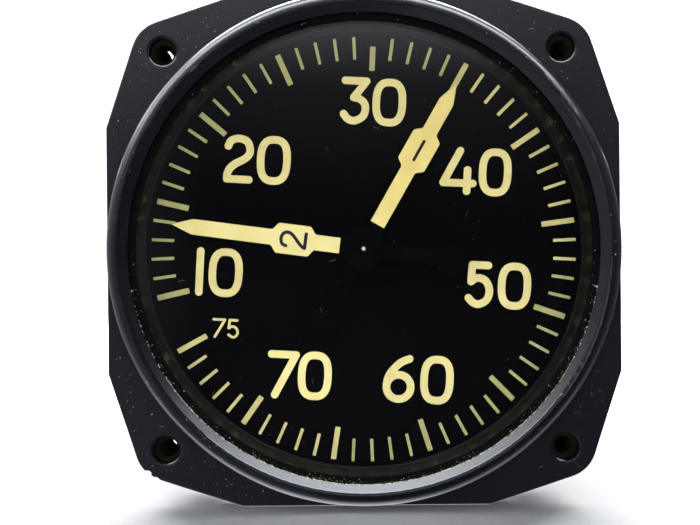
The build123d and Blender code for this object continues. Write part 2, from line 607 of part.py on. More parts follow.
# ================================================================ connector
sq = plate_xz(RectangleRounded(CONN_SQ, CONN_SQ, 3.2), CAN_END_Y + 0.6, CAN_END_Y + 0.6 + CONN_T)
FACE_Y = CAN_END_Y + 0.6 + CONN_T
shell_c = sq + ycyl(BARREL_R, FACE_Y - 0.5, BARREL_END_Y) + ycyl(CONN_SKIRT_R, CONN_SKIRT_Y, CAN_END_Y + 1.0)
# undercut behind the coupling thread, and a mouth chamfer
shell_c -= ring(BARREL_R + 1, BARREL_R - 0.7, FACE_Y, FACE_Y + 1.6)
shell_c -= turn([(BARREL_R - 0.6, BARREL_END_Y), (BARREL_R + 1, BARREL_END_Y), (BARREL_R + 1, BARREL_END_Y - 1.6)])
shell_c -= ycyl(BARREL_BORE_R, CONN_SKIRT_Y - 1, BARREL_END_Y + 1)
# polarising rib in the barrel
shell_c += block(-1.0, 1.0, INSERT_Y1, BARREL_END_Y - 1.0, BARREL_BORE_R - 1.0, BARREL_BORE_R + 0.6)
for x, z in conn_holes:
    shell_c -= ycyl(1.7, CAN_END_Y - 1, FACE_Y + 1, x, z)
save("connector_shell", shell_c)

seal2 = plate_xz(RectangleRounded(CONN_SQ, CONN_SQ, 3.2), CAN_END_Y, CAN_END_Y + 0.6)
seal2 -= ycyl(CONN_SKIRT_R + 0.3, CAN_END_Y - 1, CAN_END_Y + 2)
for x, z in conn_holes:
    seal2 -= ycyl(1.7, CAN_END_Y - 1, CAN_END_Y + 2, x, z)
save("connector_gasket", seal2)

insert = ycyl(BARREL_BORE_R, INSERT_Y0, INSERT_Y1)
pins = []
for x, z in pin_places:
    insert -= ycyl(PIN_R, INSERT_Y0 - 1, INSERT_Y1 + 1, x, z)
    p = ycyl(PIN_R, PIN_Y0, PIN_Y1 - PIN_R, x, z)
    p += Location((x, PIN_Y1 - PIN_R, z)) * Sphere(PIN_R)
    pins.append(p)
save("connector_insert", insert)
save("connector_pins", *pins)

conn_screws = []
for x, z in conn_holes:
    s = ycyl(1.45, CAN_END_Y - 2.8, FACE_Y, x, z)
    head = ycyl(2.6, FACE_Y, FACE_Y + 1.8, x, z)
    head = fillet([e for e in head.edges() if abs(e.center().Y - FACE_Y - 1.8) < 1e-3], 0.7)
    s += head
    s -= Location((x, FACE_Y + 1.9, z), (0, 35, 0)) * Box(6, 1.8, 0.7)
    conn_screws.append(s)
save("connector_screws", *conn_screws)

print(len(NODES), "nodes")
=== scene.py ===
import json
import math
import random

import bmesh
import bpy
import numpy as np
from mathutils import Matrix, Vector


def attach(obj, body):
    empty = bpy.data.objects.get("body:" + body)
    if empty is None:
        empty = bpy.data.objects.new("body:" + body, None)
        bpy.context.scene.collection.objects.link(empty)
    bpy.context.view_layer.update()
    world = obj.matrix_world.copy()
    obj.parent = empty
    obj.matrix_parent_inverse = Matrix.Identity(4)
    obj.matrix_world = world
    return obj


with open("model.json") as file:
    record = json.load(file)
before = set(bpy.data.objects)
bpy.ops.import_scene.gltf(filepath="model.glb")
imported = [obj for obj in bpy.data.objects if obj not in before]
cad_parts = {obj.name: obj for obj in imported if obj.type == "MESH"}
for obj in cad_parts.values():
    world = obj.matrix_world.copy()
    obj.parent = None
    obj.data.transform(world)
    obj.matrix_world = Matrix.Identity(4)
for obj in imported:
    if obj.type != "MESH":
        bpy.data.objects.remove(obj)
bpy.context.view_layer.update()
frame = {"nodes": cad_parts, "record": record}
MM = 0.001
PI = math.pi

# heights of the front faces, in millimetres along Y
DIAL_Y = 6.0
P1_Y = 3.4
P2_Y = 1.0
GLASS_Y = -3.4
FLOOR_Z = -40.5
DIAL_TURN = 3.38         # the dial stands turned clockwise by this many degrees
P1_ANGLE, P2_ANGLE = 30.0, 277.9
HOLE = 31.4325


# ------------------------------------------------------------------ node helpers
class Mat:
    """A small builder for node materials with one Principled shader."""

    def __init__(self, name):
        self.m = bpy.data.materials.new(name)
        self.m.use_nodes = True
        self.t = self.m.node_tree
        self.t.nodes.clear()
        self.out = self.t.nodes.new("ShaderNodeOutputMaterial")
        self.p = self.t.nodes.new("ShaderNodeBsdfPrincipled")
        self.t.links.new(self.p.outputs[0], self.out.inputs[0])
        self.tc = self.t.nodes.new("ShaderNodeTexCoord")

    def link(self, a, b):
        self.t.links.new(a, b)

    def coord(self, scale=(1, 1, 1), offset=(0, 0, 0)):
        n = self.t.nodes.new("ShaderNodeMapping")
        n.inputs["Scale"].default_value = scale
        n.inputs["Location"].default_value = offset
        self.link(self.tc.outputs["Object"], n.inputs["Vector"])
        return n.outputs[0]

    def noise(self, scale, detail=3.0, rough=0.5, vec=None, distortion=0.0):
        n = self.t.nodes.new("ShaderNodeTexNoise")
        n.inputs["Scale"].default_value = scale
        n.inputs["Detail"].default_value = detail
        n.inputs["Roughness"].default_value = rough
        n.inputs["Distortion"].default_value = distortion
        self.link(vec if vec is not None else self.tc.outputs["Object"], n.inputs["Vector"])
        return n.outputs["Fac"]

    def voronoi(self, scale, feature="F1", vec=None, out="Distance"):
        n = self.t.nodes.new("ShaderNodeTexVoronoi")
        n.feature = feature
        n.inputs["Scale"].default_value = scale
        self.link(vec if vec is not None else self.tc.outputs["Object"], n.inputs["Vector"])
        return n.outputs[out]

    def ramp(self, fac, stops, interp="LINEAR"):
        n = self.t.nodes.new("ShaderNodeValToRGB")
        n.color_ramp.interpolation = interp
        el = n.color_ramp.elements
        while len(el) < len(stops):
            el.new(0.5)
        for e, (pos, col) in zip(el, stops):
            e.position = pos
            if isinstance(col, (int, float)):
                col = (col, col, col)
            e.color = tuple(col) + (1.0,) if len(col) == 3 else col
        self.link(fac, n.inputs["Fac"])
        return n.outputs["Color"]

    def math(self, op, a, b=None, c=None, clamp=False):
        n = self.t.nodes.new("ShaderNodeMath")
        n.operation = op
        n.use_clamp = clamp
        for i, v in enumerate((a, b, c)):
            if v is None:
                continue
            if isinstance(v, (int, float)):
                n.inputs[i].default_value = v
            else:
                self.link(v, n.inputs[i])
        return n.outputs[0]

    def mix(self, fac, a, b, blend="MIX"):
        n = self.t.nodes.new("ShaderNodeMix")
        n.data_type = "RGBA"
        n.blend_type = blend
        if isinstance(fac, (int, float)):
            n.inputs["Factor"].default_value = fac
        else:
            self.link(fac, n.inputs["Factor"])
        for k, v in (("A", a), ("B", b)):
            sock = [s for s in n.inputs if s.name == k and s.type == "RGBA"][0]
            if isinstance(v, (tuple, list)):
                sock.default_value = tuple(v) + (1.0,) if len(v) == 3 else v
            else:
                self.link(v, sock)
        return [s for s in n.outputs if s.type == "RGBA"][0]

    def xyz(self, vec=None):
        n = self.t.nodes.new("ShaderNodeSeparateXYZ")
        self.link(vec if vec is not None else self.tc.outputs["Object"], n.inputs[0])
        return n.outputs[0], n.outputs[1], n.outputs[2]

    def radius(self):
        x, _, z = self.xyz()
        return self.math("SQRT", self.math("ADD", self.math("MULTIPLY", x, x), self.math("MULTIPLY", z, z)))

    def bump(self, height, strength=0.3, distance=0.0001, normal=None):
        n = self.t.nodes.new("ShaderNodeBump")
        n.inputs["Strength"].default_value = strength
        n.inputs["Distance"].default_value = distance
        self.link(height, n.inputs["Height"])
        if normal is not None:
            self.link(normal, n.inputs["Normal"])
        return n.outputs[0]

    def normal(self):
        n = self.t.nodes.new("ShaderNodeNewGeometry")
        return n.outputs["Normal"]

    def set(self, **kw):
        for k, v in kw.items():
            s = self.p.inputs[k.replace("_", " ")]
            if isinstance(v, (int, float)):
                s.default_value = v
            elif isinstance(v, (tuple, list)):
                s.default_value = tuple(v) + (1.0,) if len(v) == 3 and s.type == "RGBA" else v
            else:
                self.link(v, s)
        return self


# ------------------------------------------------------------------ materials
def black_phenolic():
    m = Mat("black_phenolic")
    cloud = m.noise(45, 4, 0.55)
    fine = m.noise(900, 3, 0.6)
    grain = m.noise(3200, 2, 0.5)
    base = m.ramp(cloud, [(0.3, (0.0026, 0.0026, 0.0046)), (0.7, (0.0041, 0.0041, 0.0070))])
    # a dust film, thicker in patches
    patch = m.ramp(m.noise(130, 5, 0.65), [(0.5, 0.0), (0.78, 1.0)])
    speck = m.ramp(fine, [(0.60, 0.0), (0.72, 1.0)])
    film = m.math("MULTIPLY", m.math("MULTIPLY", patch, speck), 0.30)
    col = m.mix(film, base, (0.060, 0.060, 0.064))
    rough = m.math("ADD", m.math("MULTIPLY", cloud, 0.08), m.math("ADD", m.math("MULTIPLY", grain, 0.06), 0.15))
    # hair scratches
    stretch = m.coord((60, 40, 900))
    sc = m.ramp(m.noise(14, 2, 0.5, vec=stretch), [(0.645, 0.0), (0.665, 1.0)])
    patches = m.ramp(m.noise(60, 2, 0.5), [(0.52, 0.0), (0.62, 1.0)])
    scr = m.math("MULTIPLY", sc, patches)
    col = m.mix(m.math("MULTIPLY", scr, 0.09), col, (0.09, 0.09, 0.095))
    h = m.math("ADD", m.math("MULTIPLY", m.noise(620, 3, 0.55), 0.6), m.math("MULTIPLY", grain, 0.25))
    # fine turning marks round the front ring
    x, _, z = m.xyz()
    around = m.t.nodes.new("ShaderNodeCombineXYZ")
    m.link(m.math("MULTIPLY", m.radius(), 5200.0), around.inputs[0])
    m.link(m.math("MULTIPLY", m.math("ARCTAN2", z, x), 2.2), around.inputs[1])
    marks = m.noise(1.0, 3, 0.6, vec=around.outputs[0])
    rad = m.radius()
    on_ring = m.math("MULTIPLY", m.math("GREATER_THAN", rad, 0.0383), m.math("LESS_THAN", rad, 0.0399))
    h = m.math("ADD", h, m.math("MULTIPLY", m.math("MULTIPLY", marks, on_ring), 1.3))
    rough = m.math("ADD", rough, m.math("MULTIPLY", m.math("MULTIPLY", marks, on_ring), 0.16))
    m.set(Base_Color=col, Roughness=rough, Normal=m.bump(h, 0.16, 0.00006), IOR=1.52)
    return m.m


def black_paint():
    m = Mat("black_paint")
    cloud = m.noise(30, 4, 0.5)
    wr = m.noise(420, 5, 0.62, distortion=0.7)
    col = m.ramp(cloud, [(0.3, (0.0060, 0.0062, 0.0075)), (0.75, (0.0105, 0.0107, 0.0125))])
    dust = m.ramp(m.noise(90, 6, 0.7), [(0.55, 0.0), (0.8, 1.0)])
    col = m.mix(m.math("MULTIPLY", dust, 0.14), col, (0.06, 0.06, 0.059))
    wear = m.ramp(m.voronoi(55, "DISTANCE_TO_EDGE"), [(0.0, 1.0), (0.006, 0.0)])
    keep = m.ramp(m.noise(26, 2, 0.5), [(0.62, 0.0), (0.7, 1.0)])
    col = m.mix(m.math("MULTIPLY", m.math("MULTIPLY", wear, keep), 0.35), col, (0.16, 0.16, 0.16))
    m.set(Base_Color=col, Roughness=m.math("ADD", m.math("MULTIPLY", cloud, 0.18), 0.36),
          Normal=m.bump(wr, 0.45, 0.00008), IOR=1.5, Specular_IOR_Level=0.22)
    return m.m


def black_enamel():
    m = Mat("black_enamel")
    cloud = m.noise(70, 4, 0.5)
    col = m.ramp(cloud, [(0.3, (0.0066, 0.0076, 0.0060)), (0.7, (0.0108, 0.0124, 0.0097))])
    speck = m.ramp(m.noise(2200, 2, 0.5), [(0.66, 0.0), (0.74, 1.0)])
    col = m.mix(m.math("MULTIPLY", speck, 0.25), col, (0.16, 0.16, 0.15))
    m.set(Base_Color=col, Roughness=m.math("ADD", m.math("MULTIPLY", cloud, 0.15), 0.34),
          Normal=m.bump(m.noise(900, 3, 0.5), 0.15, 0.00004), IOR=1.5, Specular_IOR_Level=0.25)
    return m.m


def dial_black():
    m = Mat("dial_black")
    cloud = m.noise(40, 3, 0.5)
    grain = m.noise(2600, 3, 0.6)
    col = m.ramp(cloud, [(0.3, (0.0012, 0.0012, 0.0017)), (0.7, (0.0021, 0.0021, 0.0027))])
    lint = m.ramp(m.noise(1500, 2, 0.5), [(0.70, 0.0), (0.76, 1.0)])
    col = m.mix(m.math("MULTIPLY", lint, 0.10), col, (0.06, 0.06, 0.062))
    m.set(Base_Color=col, Roughness=m.math("ADD", m.math("MULTIPLY", grain, 0.14), 0.52),
          Normal=m.bump(grain, 0.25, 0.00003), IOR=1.45, Specular_IOR_Level=0.04)
    return m.m


def pointer_black():
    m = Mat("pointer_black")
    grain = m.noise(2400, 3, 0.6)
    col = m.ramp(m.noise(160, 3, 0.5), [(0.3, (0.0008, 0.0008, 0.0012)), (0.7, (0.0016, 0.0016, 0.0021))])
    m.set(Base_Color=col, Roughness=m.math("ADD", m.math("MULTIPLY", grain, 0.14), 0.42),
          Normal=m.bump(grain, 0.2, 0.00003), IOR=1.48, Specular_IOR_Level=0.05)
    return m.m


def shaft_steel():
    """Bright steel behind the dial; its front end is blackened round a small bright centre."""
    m = Mat("shaft_steel")
    grain = m.noise(900, 3, 0.6, vec=m.coord((1, 8, 1)))
    col = m.ramp(grain, [(0.3, (0.48, 0.49, 0.50)), (0.7, (0.64, 0.65, 0.64))])
    _, y, _ = m.xyz()
    cap = m.math("MULTIPLY", m.math("LESS_THAN", y, 0.0032), m.math("GREATER_THAN", m.radius(), 0.00028))
    spot = m.math("MULTIPLY", m.math("LESS_THAN", y, 0.0032), m.math("LESS_THAN", m.radius(), 0.00028))
    col = m.mix(cap, col, (0.003, 0.003, 0.0036))
    col = m.mix(spot, col, (0.62, 0.60, 0.52))
    front = m.math("LESS_THAN", y, 0.0032)
    m.set(Base_Color=col, Metallic=m.math("SUBTRACT", 1.0, front), Roughness=m.math("ADD", m.math("MULTIPLY", grain, 0.16), 0.30),
          Normal=m.bump(grain, 0.1, 0.00004))
    return m.m


def cream(name, light, dark, speck_amount=0.35, age=0.5):
    """Aged cream paint: slightly uneven, with fine dark flecks."""
    m = Mat(name)
    cloud = m.noise(170, 4, 0.6)
    col = m.ramp(cloud, [(0.28, dark), (0.62, light)])
    fleck = m.ramp(m.noise(2600, 3, 0.6), [(0.62, 0.0), (0.75, 1.0)])
    col = m.mix(m.math("MULTIPLY", fleck, speck_amount), col, tuple(v * age for v in dark))
    grain = m.noise(3500, 2, 0.5)
    m.set(Base_Color=col, Roughness=m.math("ADD", m.math("MULTIPLY", grain, 0.12), 0.55),
          Normal=m.bump(m.noise(1300, 3, 0.6), 0.3, 0.00003), IOR=1.45)
    return m.m


def glass(name):
    m = Mat(name)
    smear = m.noise(38, 4, 0.6, distortion=1.4)
    m.set(Base_Color=(0.985, 0.992, 0.988), Roughness=0.0, IOR=1.5, Transmission_Weight=1.0,
          Normal=m.bump(smear, 0.02, 0.00002))
    tr = m.t.nodes.new("ShaderNodeBsdfTransparent")
    tr.inputs[0].default_value = (0.93, 0.94, 0.935, 1.0)
    lp = m.t.nodes.new("ShaderNodeLightPath")
    mx = m.t.nodes.new("ShaderNodeMixShader")
    m.link(lp.outputs["Is Shadow Ray"], mx.inputs[0])
    m.link(m.p.outputs[0], mx.inputs[1])
    m.link(tr.outputs[0], mx.inputs[2])
    m.link(mx.outputs[0], m.out.inputs[0])
    return m.m


def rubber(name):
    m = Mat(name)
    n = m.noise(500, 4, 0.6)
    col = m.ramp(n, [(0.3, (0.0010, 0.0010, 0.0012)), (0.75, (0.0024, 0.0024, 0.0026))])
    m.set(Base_Color=col, Roughness=m.math("ADD", m.math("MULTIPLY", n, 0.2), 0.55),
          Normal=m.bump(m.noise(1800, 2, 0.5), 0.25, 0.00004), Specular_IOR_Level=0.06)
    return m.m


def metal(name, a, b, rough, scale=(1, 1, 1), grain_scale=900, tarnish=None, bump=0.12, metallic=1.0, specular=0.5):
    """Machined or drawn metal, with a directional grain and a thin tarnish."""
    m = Mat(name)
    grain = m.noise(grain_scale, 3, 0.6, vec=m.coord(scale))
    cloud = m.noise(110, 4, 0.6)
    col = m.ramp(cloud, [(0.3, a), (0.72, b)])
    if tarnish:
        t = m.ramp(m.noise(240, 5, 0.7), [(0.48, 0.0), (0.72, 1.0)])
        col = m.mix(m.math("MULTIPLY", t, 0.55), col, tarnish)
    m.set(Base_Color=col, Metallic=metallic, Specular_IOR_Level=specular,
          Roughness=m.math("ADD", m.math("MULTIPLY", grain, 0.16), rough),
          Normal=m.bump(grain, bump, 0.00004))
    return m.m


def phenolic_board(name, a, b):
    m = Mat(name)
    weave = m.noise(700, 3, 0.5, vec=m.coord((1, 6, 1)))
    col = m.ramp(weave, [(0.3, a), (0.7, b)])
    m.set(Base_Color=col, Roughness=m.math("ADD", m.math("MULTIPLY", weave, 0.15), 0.38),
          Normal=m.bump(weave, 0.2, 0.00005), IOR=1.5)
    return m.m


def winding(name):
    m = Mat(name)
    wires = m.noise(1400, 2, 0.5, vec=m.coord((1, 0.12, 1)))
    col = m.ramp(wires, [(0.3, (0.16, 0.045, 0.015)), (0.7, (0.42, 0.15, 0.055))])
    m.set(Base_Color=col, Roughness=m.math("ADD", m.math("MULTIPLY", wires, 0.15), 0.26),
          Normal=m.bump(wires, 0.5, 0.00015), Metallic=0.35)
    return m.m


def sleeving(name):
    m = Mat(name)
    w = m.voronoi(2600)
    col = m.ramp(w, [(0.0, (0.40, 0.35, 0.20)), (0.6, (0.22, 0.18, 0.09))])
    m.set(Base_Color=col, Roughness=m.math("ADD", m.math("MULTIPLY", w, 0.2), 0.55), Normal=m.bump(w, 0.4, 0.00008))
    return m.m


def powder(name, a, b):
    m = Mat(name)
    n = m.noise(2200, 3, 0.6)
    m.set(Base_Color=m.ramp(n, [(0.3, a), (0.7, b)]), Roughness=m.math("ADD", m.math("MULTIPLY", n, 0.1), 0.8))
    return m.m


MATS = {
    "black_phenolic": black_phenolic(),
    # the inserts' colour is near black with no gloss at all, far darker than brass: painted shade for the inside of the
    # mounting holes
    "insert_brass": metal("insert_brass", (0.0045, 0.0038, 0.0028), (0.011, 0.0092, 0.0062), 0.50, grain_scale=1200,
                          tarnish=(0.004, 0.0035, 0.003), metallic=0.0, specular=0.0),
    "seal_rubber": rubber("seal_rubber"),
    "cover_glass": glass("cover_glass"),
    "black_enamel": black_enamel(),
    "dial_black": dial_black(),
    "bare_aluminium": metal("bare_aluminium", (0.50, 0.51, 0.52), (0.66, 0.67, 0.68), 0.28, (1, 8, 1)),
    "core_steel": metal("core_steel", (0.16, 0.16, 0.165), (0.26, 0.255, 0.25), 0.38, (1, 30, 1), 600, (0.10, 0.07, 0.04)),
    "winding_copper": winding("winding_copper"),
    "brown_phenolic": phenolic_board("brown_phenolic", (0.050, 0.020, 0.008), (0.095, 0.042, 0.018)),
    "contact_brass": metal("contact_brass", (0.60, 0.43, 0.16), (0.76, 0.58, 0.27), 0.22, (1, 5, 1), tarnish=(0.30, 0.20, 0.08)),
    "bearing_steel": metal("bearing_steel", (0.48, 0.49, 0.50), (0.62, 0.63, 0.64), 0.16, (1, 6, 1)),
    "lead_sleeve": sleeving("lead_sleeve"),
    "black_paint": black_paint(),
    "black_screw": metal("black_screw", (0.020, 0.020, 0.022), (0.045, 0.044, 0.046), 0.34, metallic=0.6,
                         tarnish=(0.10, 0.075, 0.05)),
    "connector_aluminium": metal("connector_aluminium", (0.17, 0.175, 0.13), (0.27, 0.27, 0.21), 0.34, (1, 4, 1),
                                 tarnish=(0.10, 0.10, 0.075)),
    "connector_insulator": phenolic_board("connector_insulator", (0.012, 0.012, 0.012), (0.028, 0.026, 0.025)),
    "pointer_black": pointer_black(),
}
SHAFT_STEEL = shaft_steel()
NUMERAL_PAINT = cream("numeral_paint", (0.79, 0.69, 0.31), (0.68, 0.57, 0.235), 0.30)
# the next paint is a lighter copy of the numeral paint, not a different paint: painted light for the stronger light on
# the lower dial, used for the 70
NUMERAL_PAINT_LIT = cream("numeral_paint_lit", (0.90, 0.79, 0.355), (0.80, 0.68, 0.285), 0.24)
TICK_PAINT = cream("tick_paint", (0.45, 0.43, 0.185), (0.33, 0.315, 0.130), 0.40)
TICK_PAINT_LIGHT = cream("tick_paint_light", (0.66, 0.58, 0.255), (0.52, 0.455, 0.195), 0.35)
BLADE_PAINT_1 = cream("pointer_1_paint", (0.82, 0.675, 0.255), (0.72, 0.565, 0.19), 0.22)
BLADE_PAINT_2 = cream("pointer_2_paint", (0.80, 0.685, 0.295), (0.71, 0.59, 0.23), 0.20)
DIGIT_BLACK = powder("digit_black", (0.008, 0.008, 0.009), (0.016, 0.016, 0.017))
DUST_WHITE = powder("dust_white", (0.50, 0.50, 0.47), (0.80, 0.80, 0.77))
SCUFF = powder("scuff", (0.022, 0.022, 0.027), (0.050, 0.050, 0.058))
DUST_YELLOW = powder("dust_yellow", (0.62, 0.60, 0.40), (0.88, 0.86, 0.62))

# every carried-over node gets the detailed material of its slot
for name, obj in frame["nodes"].items():
    for s in obj.material_slots:
        key = s.material.name.split(".")[0] if s.material else ""
        if key not in MATS:
            row = [p for p in frame["record"]["subparts"] if p.get("node") == name]
            key = row[0]["material_slot"] if row else "black_phenolic"
        s.material = MATS[key]
for s in frame["nodes"]["inner_shaft"].material_slots:
    s.material = SHAFT_STEEL
for name in ("pointer_1_bush", "pointer_2_bush"):
    for s in frame["nodes"][name].material_slots:
        s.material = MATS["pointer_black"]


# ------------------------------------------------------------------ mesh helpers
def new_mesh(name, verts, faces, material, smooth=False, body="case"):
    me = bpy.data.meshes.new(name)
    me.from_pydata([tuple(v) for v in verts], [], faces)
    me.validate()
    me.update()
    me.materials.append(material)
    if smooth:
        me.polygons.foreach_set("use_smooth", [True] * len(me.polygons))
    ob = bpy.data.objects.new(name, me)
    bpy.context.scene.collection.objects.link(ob)
    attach(ob, body)
    return ob


def flat_shapes(name, loops, y_front, thick, edge, material, body, turn=0.0):
    """Closed outlines in (x, z) millimetres, filled, given thickness behind y_front and a soft front edge.
    Holes are outlines inside outlines. turn is clockwise about the axis, in degrees."""
    c, s = math.cos(math.radians(turn)), math.sin(math.radians(turn))
    cu = bpy.data.curves.new(name + "_outline", "CURVE")
    cu.dimensions = "2D"
    cu.fill_mode = "BOTH"
    cu.extrude = thick / 2 - edge
    cu.bevel_depth = edge
    cu.bevel_resolution = 1
    cu.offset = -edge
    for loop in loops:
        sp = cu.splines.new("POLY")
        sp.points.add(len(loop) - 1)
        for p, (x, z) in zip(sp.points, loop):
            p.co = (x * c + z * s, -x * s + z * c, 0.0, 1.0)
        sp.use_cyclic_u = True
    tmp = bpy.data.objects.new(name + "_tmp", cu)
    bpy.context.scene.collection.objects.link(tmp)
    bpy.context.view_layer.update()
    me = bpy.data.meshes.new_from_object(tmp)
    bpy.data.objects.remove(tmp)
    bpy.data.curves.remove(cu)
    me.name = name
    # the curve lies in its own XY plane: stand it up and put it in place
    mat = Matrix(((MM, 0, 0, 0), (0, 0, -MM, (y_front + thick / 2) * MM), (0, MM, 0, 0), (0, 0, 0, 1)))
    me.transform(mat)
    bm = bmesh.new()
    bm.from_mesh(me)
    bmesh.ops.remove_doubles(bm, verts=bm.verts, dist=1e-7)
    bmesh.ops.triangulate(bm, faces=[f for f in bm.faces if len(f.verts) > 4])
    bmesh.ops.recalc_face_normals(bm, faces=bm.faces)
    bm.to_mesh(me)
    bm.free()
    me.materials.clear()
    me.materials.append(material)
    me.polygons.foreach_set("use_smooth", [False] * len(me.polygons))
    ob = bpy.data.objects.new(name, me)
    bpy.context.scene.collection.objects.link(ob)
    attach(ob, body)
    return ob


# ------------------------------------------------------------------ stroke lettering
def catmull(points, closed=False, n=14):
    """A smooth line through the points."""
    pts = [np.array(p, float) for p in points]
    if closed:
        ext = [pts[-1]] + pts + [pts[0], pts[1]]
    else:
        ext = [2 * pts[0] - pts[1]] + pts + [2 * pts[-1] - pts[-2]]
    out = []
    for i in range(1, len(ext) - 2):
        p0, p1, p2, p3 = ext[i - 1:i + 3]
        for k in range(n):
            t = k / n
            out.append(0.5 * ((2 * p1) + (-p0 + p2) * t + (2 * p0 - 5 * p1 + 4 * p2 - p3) * t * t
                              + (-p0 + 3 * p1 - 3 * p2 + p3) * t ** 3))
    if not closed:
        out.append(pts[-1])
    else:
        out.append(out[0])
    return [tuple(p) for p in out]


def superellipse(cx, cy, a, b, e=2.5, n=120):
    out = []
    for k in range(n + 1):
        t = 2 * PI * k / n
        c, s = math.cos(t), math.sin(t)
        out.append((cx + a * math.copysign(abs(c) ** (2 / e), c), cy + b * math.copysign(abs(s) ** (2 / e), s)))
    return out


def field_loops(strokes, half, step):
    """Outlines of the area within half of any stroke, a stroke being a list of points, in the units of the points."""
    allp = np.array([p for s in strokes for p in s], float)
    lo = allp.min(0) - half - 3 * step
    hi = allp.max(0) + half + 3 * step
    nx, ny = int((hi[0] - lo[0]) / step) + 2, int((hi[1] - lo[1]) / step) + 2
    gx = lo[0] + step * np.arange(nx)
    gy = lo[1] + step * np.arange(ny)
    X, Y = np.meshgrid(gx, gy, indexing="ij")
    D = np.full(X.shape, 1e9)
    for s in strokes:
        for (ax, ay), (bx, by) in zip(s[:-1], s[1:]):
            dx, dy = bx - ax, by - ay
            L = dx * dx + dy * dy
            if L < 1e-12:
                continue
            t = np.clip(((X - ax) * dx + (Y - ay) * dy) / L, 0, 1)
            D = np.minimum(D, np.hypot(X - ax - t * dx, Y - ay - t * dy))
    F = half - D
    # marching squares, joined into closed loops
    seg = {}
    def key(i, j, side):
        return (i, j, side)
    def cross(i, j, side):
        if side == 0:
            a, b = F[i, j], F[i + 1, j]
            t = a / (a - b)
            return (gx[i] + t * step, gy[j])
        a, b = F[i, j], F[i, j + 1]
        t = a / (a - b)
        return (gx[i], gy[j] + t * step)
    inside = F > 0
    code = (inside[:-1, :-1] * 1 + inside[1:, :-1] * 2 + inside[1:, 1:] * 4 + inside[:-1, 1:] * 8)
    edges = {1: [(3, 0)], 2: [(0, 1)], 3: [(3, 1)], 4: [(1, 2)], 5: [(3, 2), (1, 0)], 6: [(0, 2)], 7: [(3, 2)],
             8: [(2, 3)], 9: [(2, 0)], 10: [(0, 3), (2, 1)], 11: [(2, 1)], 12: [(1, 3)], 13: [(1, 0)], 14: [(0, 3)]}
    nxt = {}
    pos = {}
    for i, j in zip(*np.nonzero((code > 0) & (code < 15))):
        names = {0: (i, j, 0), 1: (i + 1, j, 1), 2: (i, j + 1, 0), 3: (i, j, 1)}
        for a, b in edges[int(code[i, j])]:
            ka, kb = names[a], names[b]
            nxt[ka] = kb
            for k in (ka, kb):
                if k not in pos:
                    pos[k] = cross(*k)
    loops = []
    while nxt:
        start = next(iter(nxt))
        loop = []
        k = start
        while k in nxt:
            loop.append(pos[k])
            k = nxt.pop(k)
        loops.append(loop)
    return loops


def thin(loop, tol):
    """Drops points that lie within tol of the line between the kept ones."""
    pts = np.array(loop)
    n = len(pts)
    if n < 8:
        return [tuple(p) for p in pts]
    def rdp(a, b):
        if b <= a + 1:
            return []
        p, q = pts[a], pts[b % n]
        d = q - p
        L = math.hypot(*d)
        idx = np.arange(a + 1, b)
        v = pts[idx % n] - p
        dist = np.abs(v[:, 0] * d[1] - v[:, 1] * d[0]) / L if L > 1e-9 else np.hypot(v[:, 0], v[:, 1])
        k = int(dist.argmax())
        if dist[k] < tol:
            return []
        m = int(idx[k])
        return rdp(a, m) + [m] + rdp(m, b)
    half = n // 2
    keep = [0] + rdp(0, half) + [half] + rdp(half, n)
    return [tuple(pts[k % n]) for k in keep]


PX = 6.178               # drawing units per millimetre at the dial


def glyph(strokes, half, step=0.28, tol=0.035, shift=(0.0, 0.0)):
    loops = field_loops([[(x + shift[0], y + shift[1]) for x, y in s] for s in strokes], half, step)
    out = []
    for lp in loops:
        if len(lp) < 6:
            continue
        out.append([(x / PX, -y / PX) for x, y in thin(lp, tol)])
    return out


def arc(cx, cy, r, a0, a1, n=24):
    """Points on a circle, angles in degrees, y down."""
    return [(cx + r * math.cos(math.radians(a0 + (a1 - a0) * k / n)),
             cy + r * math.sin(math.radians(a0 + (a1 - a0) * k / n))) for k in range(n + 1)]


# The numerals' centre lines, in drawing units from the dial's centre, x right and y down.
W = 3.78
def zero(cx, cy, hx, hy):
    return superellipse(cx, cy, hx - W, hy - W, 2.7)


N10 = [[(-162, 10.1), (-162, 51.0)], zero(-136.1, 30.5, 17.0, 24.3)]
N20 = [catmull([(-139.9, -95.8), (-136.9, -101.4), (-129.0, -103.7), (-120.8, -100.6), (-117.9, -92.0), (-120.0, -86.4),
                (-124.6, -82.6), (-131.2, -79.0), (-136.6, -74.4), (-139.6, -68.6), (-139.9, -63.0)]) + [(-117.9, -63.0)],
       zero(-93.9, -83.5, 16.9, 24.3)]
N30 = [[(-26.4, -167.5), (-5.3, -167.5), (-17.3, -150.8)],
       catmull([(-17.3, -150.8), (-11.5, -149.6), (-6.6, -145.6), (-5.2, -139.4), (-7.6, -132.2), (-15.3, -127.8),
                (-22.4, -129.3), (-26.7, -134.2)]),
       zero(18.3, -147.4, 16.8, 23.8)]
N40 = [[(92.3, -102.8), (76.6, -70.5), (106.1, -70.7)], [(100.4, -83.9), (100.4, -62.8)], zero(127.9, -82.8, 16.3, 23.9)]
N50 = [[(125.6, 10.3), (109.7, 10.3), (109.1, 27.0)],
       catmull([(109.1, 27.0), (113.0, 24.0), (118.2, 23.2), (124.6, 26.8), (127.8, 35.6), (125.2, 44.8), (117.6, 49.2),
                (111.6, 47.6), (107.2, 43.4)]),
       zero(152.5, 29.6, 16.6, 23.4)]
N60 = [catmull([(52.1, 107.9), (43.3, 112.2), (34.9, 121.2), (31.2, 129.2), (30.3, 136.3)]), arc(42.45, 136.3, 12.1, 0, 360, 60),
       zero(80.3, 127.7, 16.6, 24.2)]
N70 = [[(-85.4, 109.2), (-61.1, 109.2), (-80.4, 149.6)], zero(-41.4, 129.0, 16.9, 24.2)]
